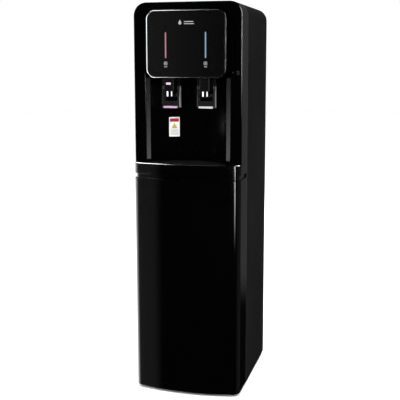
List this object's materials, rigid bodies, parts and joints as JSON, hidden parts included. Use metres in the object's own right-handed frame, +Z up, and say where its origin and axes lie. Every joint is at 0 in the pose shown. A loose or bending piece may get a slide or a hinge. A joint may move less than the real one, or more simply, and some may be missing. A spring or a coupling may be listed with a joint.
{
  "type": "floor-standing water dispenser",
  "caption": "Tall black hot and cold water dispenser with a bowed lower door, a taps niche, push levers, drip tray and a control head.",
  "frame": {"origin": "on the floor, under the middle of the whole box", "axes": "+Z up, -Y out of the front, +X to the right as seen from the front"},
  "size_m": [0.304, 0.378, 1.09],
  "materials": {
    "black_gloss": "high-gloss moulded ABS",
    "niche_gloss": "high-gloss moulded ABS",
    "black_glass": "smoked acrylic face",
    "side_steel": "fine-textured black powder coat",
    "rear_steel": "matt black powder coat",
    "trim_silver": "satin silver plating",
    "nozzle_chrome": "bright plating",
    "light_red": "lit light pipe",
    "light_blue": "lit light pipe",
    "zinc_steel": "zinc-plated sheet",
    "screw_steel": "plated screw",
    "rubber_black": "moulded rubber",
    "tap_black": "gloss moulded plastic",
    "lever_smoke": "polished smoke-grey plastic",
    "lock_pink": "gloss moulded plastic",
    "brass_plain": "turned brass",
    "white_plastic": "moulded plastic",
    "blue_plastic": "moulded plastic",
    "tray_black": "gloss moulded plastic",
    "grille_black": "satin moulded plastic",
    "label_white": "plain printed card",
    "board_green": "circuit board",
    "compressor_black": "baked enamel",
    "condenser_black": "baked enamel",
    "copper": "drawn copper",
    "stainless": "stainless sheet",
    "foam_white": "expanded foam",
    "filter_white": "moulded cartridge",
    "pipe_white": "plastic tube",
    "switch_red": "gloss moulded plastic",
    "switch_green": "gloss moulded plastic",
    "fitting_black": "moulded plastic"
  },
  "bodies": {
    "cabinet": {"base_plate": "zinc_steel", "feet": "rubber_black", "foot_bolts": "screw_steel", "side_panel_left": "side_steel", "side_panel_right": "side_steel", "rear_panel": "rear_steel", "rear_panel_screws": "screw_steel", "top_cover": "side_steel", "front_frame": "black_gloss", "niche_panel": "niche_gloss", "head_housing": "black_gloss", "head_trim_ring": "trim_silver", "control_glass": "black_glass", "light_bar_hot": "light_red", "light_bar_cold": "light_blue", "control_board": "board_green", "tray_housing": "black_gloss", "card_label": "label_white", "hot_tap_body": "tap_black", "cold_tap_body": "tap_black", "tap_nuts": "brass_plain", "hot_nozzle": "nozzle_chrome", "cold_nozzle": "nozzle_chrome", "hot_lever_pin": "screw_steel", "cold_lever_pin": "screw_steel", "hot_spring": "screw_steel", "cold_spring": "screw_steel", "chassis_frame": "zinc_steel", "lower_shelf": "zinc_steel", "upper_shelf": "zinc_steel", "compressor": "compressor_black", "compressor_mounts": "rubber_black", "condenser_coil": "condenser_black", "filter_drier": "copper", "cold_tank": "stainless", "tank_insulation": "foam_white", "evaporator_coil": "copper", "hot_tank": "stainless", "thermostat": "fitting_black", "filter_manifold": "white_plastic", "inlet_valve": "white_plastic", "pipes": "pipe_white", "power_board": "board_green", "switch_frames": "fitting_black", "water_inlet": "white_plastic", "cord_gland": "fitting_black", "drain_plug": "blue_plastic"},
    "hot_lever": {"hot_lever": "lever_smoke"},
    "cold_lever": {"cold_lever": "lever_smoke"},
    "hot_plunger": {"hot_plunger": "white_plastic"},
    "cold_plunger": {"cold_plunger": "white_plastic"},
    "child_lock": {"child_lock_button": "lock_pink"},
    "drip_tray": {"drip_tray": "tray_black"},
    "tray_grille": {"tray_grille": "grille_black"},
    "lower_door": {"lower_door": "black_gloss"},
    "hot_switch": {"hot_switch": "switch_red"},
    "cold_switch": {"cold_switch": "switch_green"},
    "sediment_filter": {"sediment_filter": "filter_white"},
    "carbon_filter": {"carbon_filter": "filter_white"},
    "membrane_filter": {"membrane_filter": "filter_white"}
  },
  "joints": [
    {"name": "hot_lever_push", "type": "hinge", "parent": "cabinet", "child": "hot_lever", "pos_m": [-0.05, -0.135, 0.86], "axis": [1, 0, 0], "range_deg": [0, 12], "stiffness_Nm_per_rad": 0.6, "springref_deg": -5.73},
    {"name": "cold_lever_push", "type": "hinge", "parent": "cabinet", "child": "cold_lever", "pos_m": [0.05, -0.135, 0.86], "axis": [1, 0, 0], "range_deg": [0, 12], "stiffness_Nm_per_rad": 0.6, "springref_deg": -5.73},
    {"name": "hot_plunger_stroke", "type": "slide", "parent": "cabinet", "child": "hot_plunger", "axis": [0, 1, 0], "range_m": [0, 0.005], "deforming": ["hot_spring"]},
    {"name": "cold_plunger_stroke", "type": "slide", "parent": "cabinet", "child": "cold_plunger", "axis": [0, 1, 0], "range_m": [0, 0.005], "deforming": ["cold_spring"]},
    {"name": "child_lock_press", "type": "slide", "parent": "cabinet", "child": "child_lock", "axis": [0, 1, 0], "range_m": [0, 0.0025], "stiffness_N_per_m": 400, "springref_m": -0.0008},
    {"name": "drip_tray_lift", "type": "slide", "parent": "cabinet", "child": "drip_tray", "axis": [0, 0, 1], "range_m": [0, 0.045]},
    {"name": "tray_grille_lift", "type": "slide", "parent": "drip_tray", "child": "tray_grille", "axis": [0, 0, 1], "range_m": [0, 0.03]},
    {"name": "lower_door_pull", "type": "slide", "parent": "cabinet", "child": "lower_door", "axis": [0, -1, 0], "range_m": [0, 0.09]},
    {"name": "hot_switch_rock", "type": "hinge", "parent": "cabinet", "child": "hot_switch", "pos_m": [0.084, 0.1832, 0.93], "axis": [1, 0, 0], "range_deg": [0, 16]},
    {"name": "cold_switch_rock", "type": "hinge", "parent": "cabinet", "child": "cold_switch", "pos_m": [0.05, 0.1832, 0.93], "axis": [1, 0, 0], "range_deg": [0, 16]},
    {"name": "sediment_filter_turn", "type": "hinge", "parent": "cabinet", "child": "sediment_filter", "pos_m": [-0.082, -0.106, 0.4], "axis": [0, 0, 1], "range_deg": [0, 90]},
    {"name": "carbon_filter_turn", "type": "hinge", "parent": "cabinet", "child": "carbon_filter", "pos_m": [0, -0.106, 0.4], "axis": [0, 0, 1], "range_deg": [0, 90]},
    {"name": "membrane_filter_turn", "type": "hinge", "parent": "cabinet", "child": "membrane_filter", "pos_m": [0.082, -0.106, 0.4], "axis": [0, 0, 1], "range_deg": [0, 90]}
  ],
  "couplings": [
    {"joint": "hot_plunger_stroke", "follows": "hot_lever_push", "m_per_rad": 0.0235},
    {"joint": "cold_plunger_stroke", "follows": "cold_lever_push", "m_per_rad": 0.0235}
  ]
}
